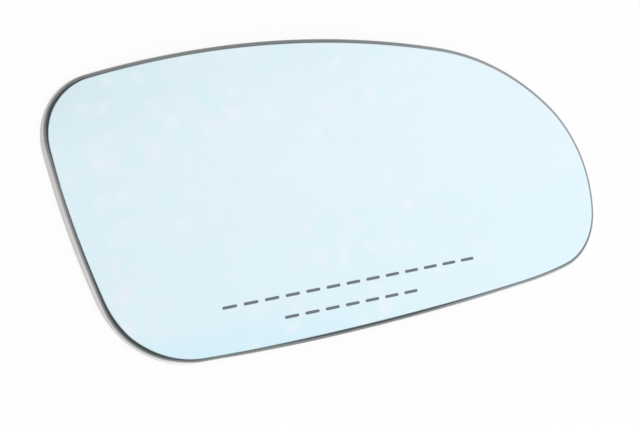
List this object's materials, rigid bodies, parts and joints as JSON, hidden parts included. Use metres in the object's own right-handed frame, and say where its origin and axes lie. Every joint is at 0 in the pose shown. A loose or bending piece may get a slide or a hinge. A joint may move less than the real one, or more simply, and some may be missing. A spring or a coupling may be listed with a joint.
{
  "type": "car door mirror glass",
  "caption": "Convex car door mirror glass: a bent blue-tinted pane with a leaning inboard side, a swept round outboard end and a ground edge, made to be glued to a holder plate.",
  "frame": {"origin": "middle of the pane's box in plan, on the plane that the rim of its hollow back rests on", "axes": "+X outboard along the pane's length, +Y up the mirror as it is fitted to the car, +Z out of the convex reflecting face"},
  "size_m": [0.206, 0.1, 0.0076],
  "materials": {
    "mirror_glass": "pale blue mirror coat on the convex face, frosted ground edge, dark protective paint on the hollow back"
  },
  "bodies": {
    "root": {"mirror_glass": "mirror_glass"}
  },
  "joints": []
}
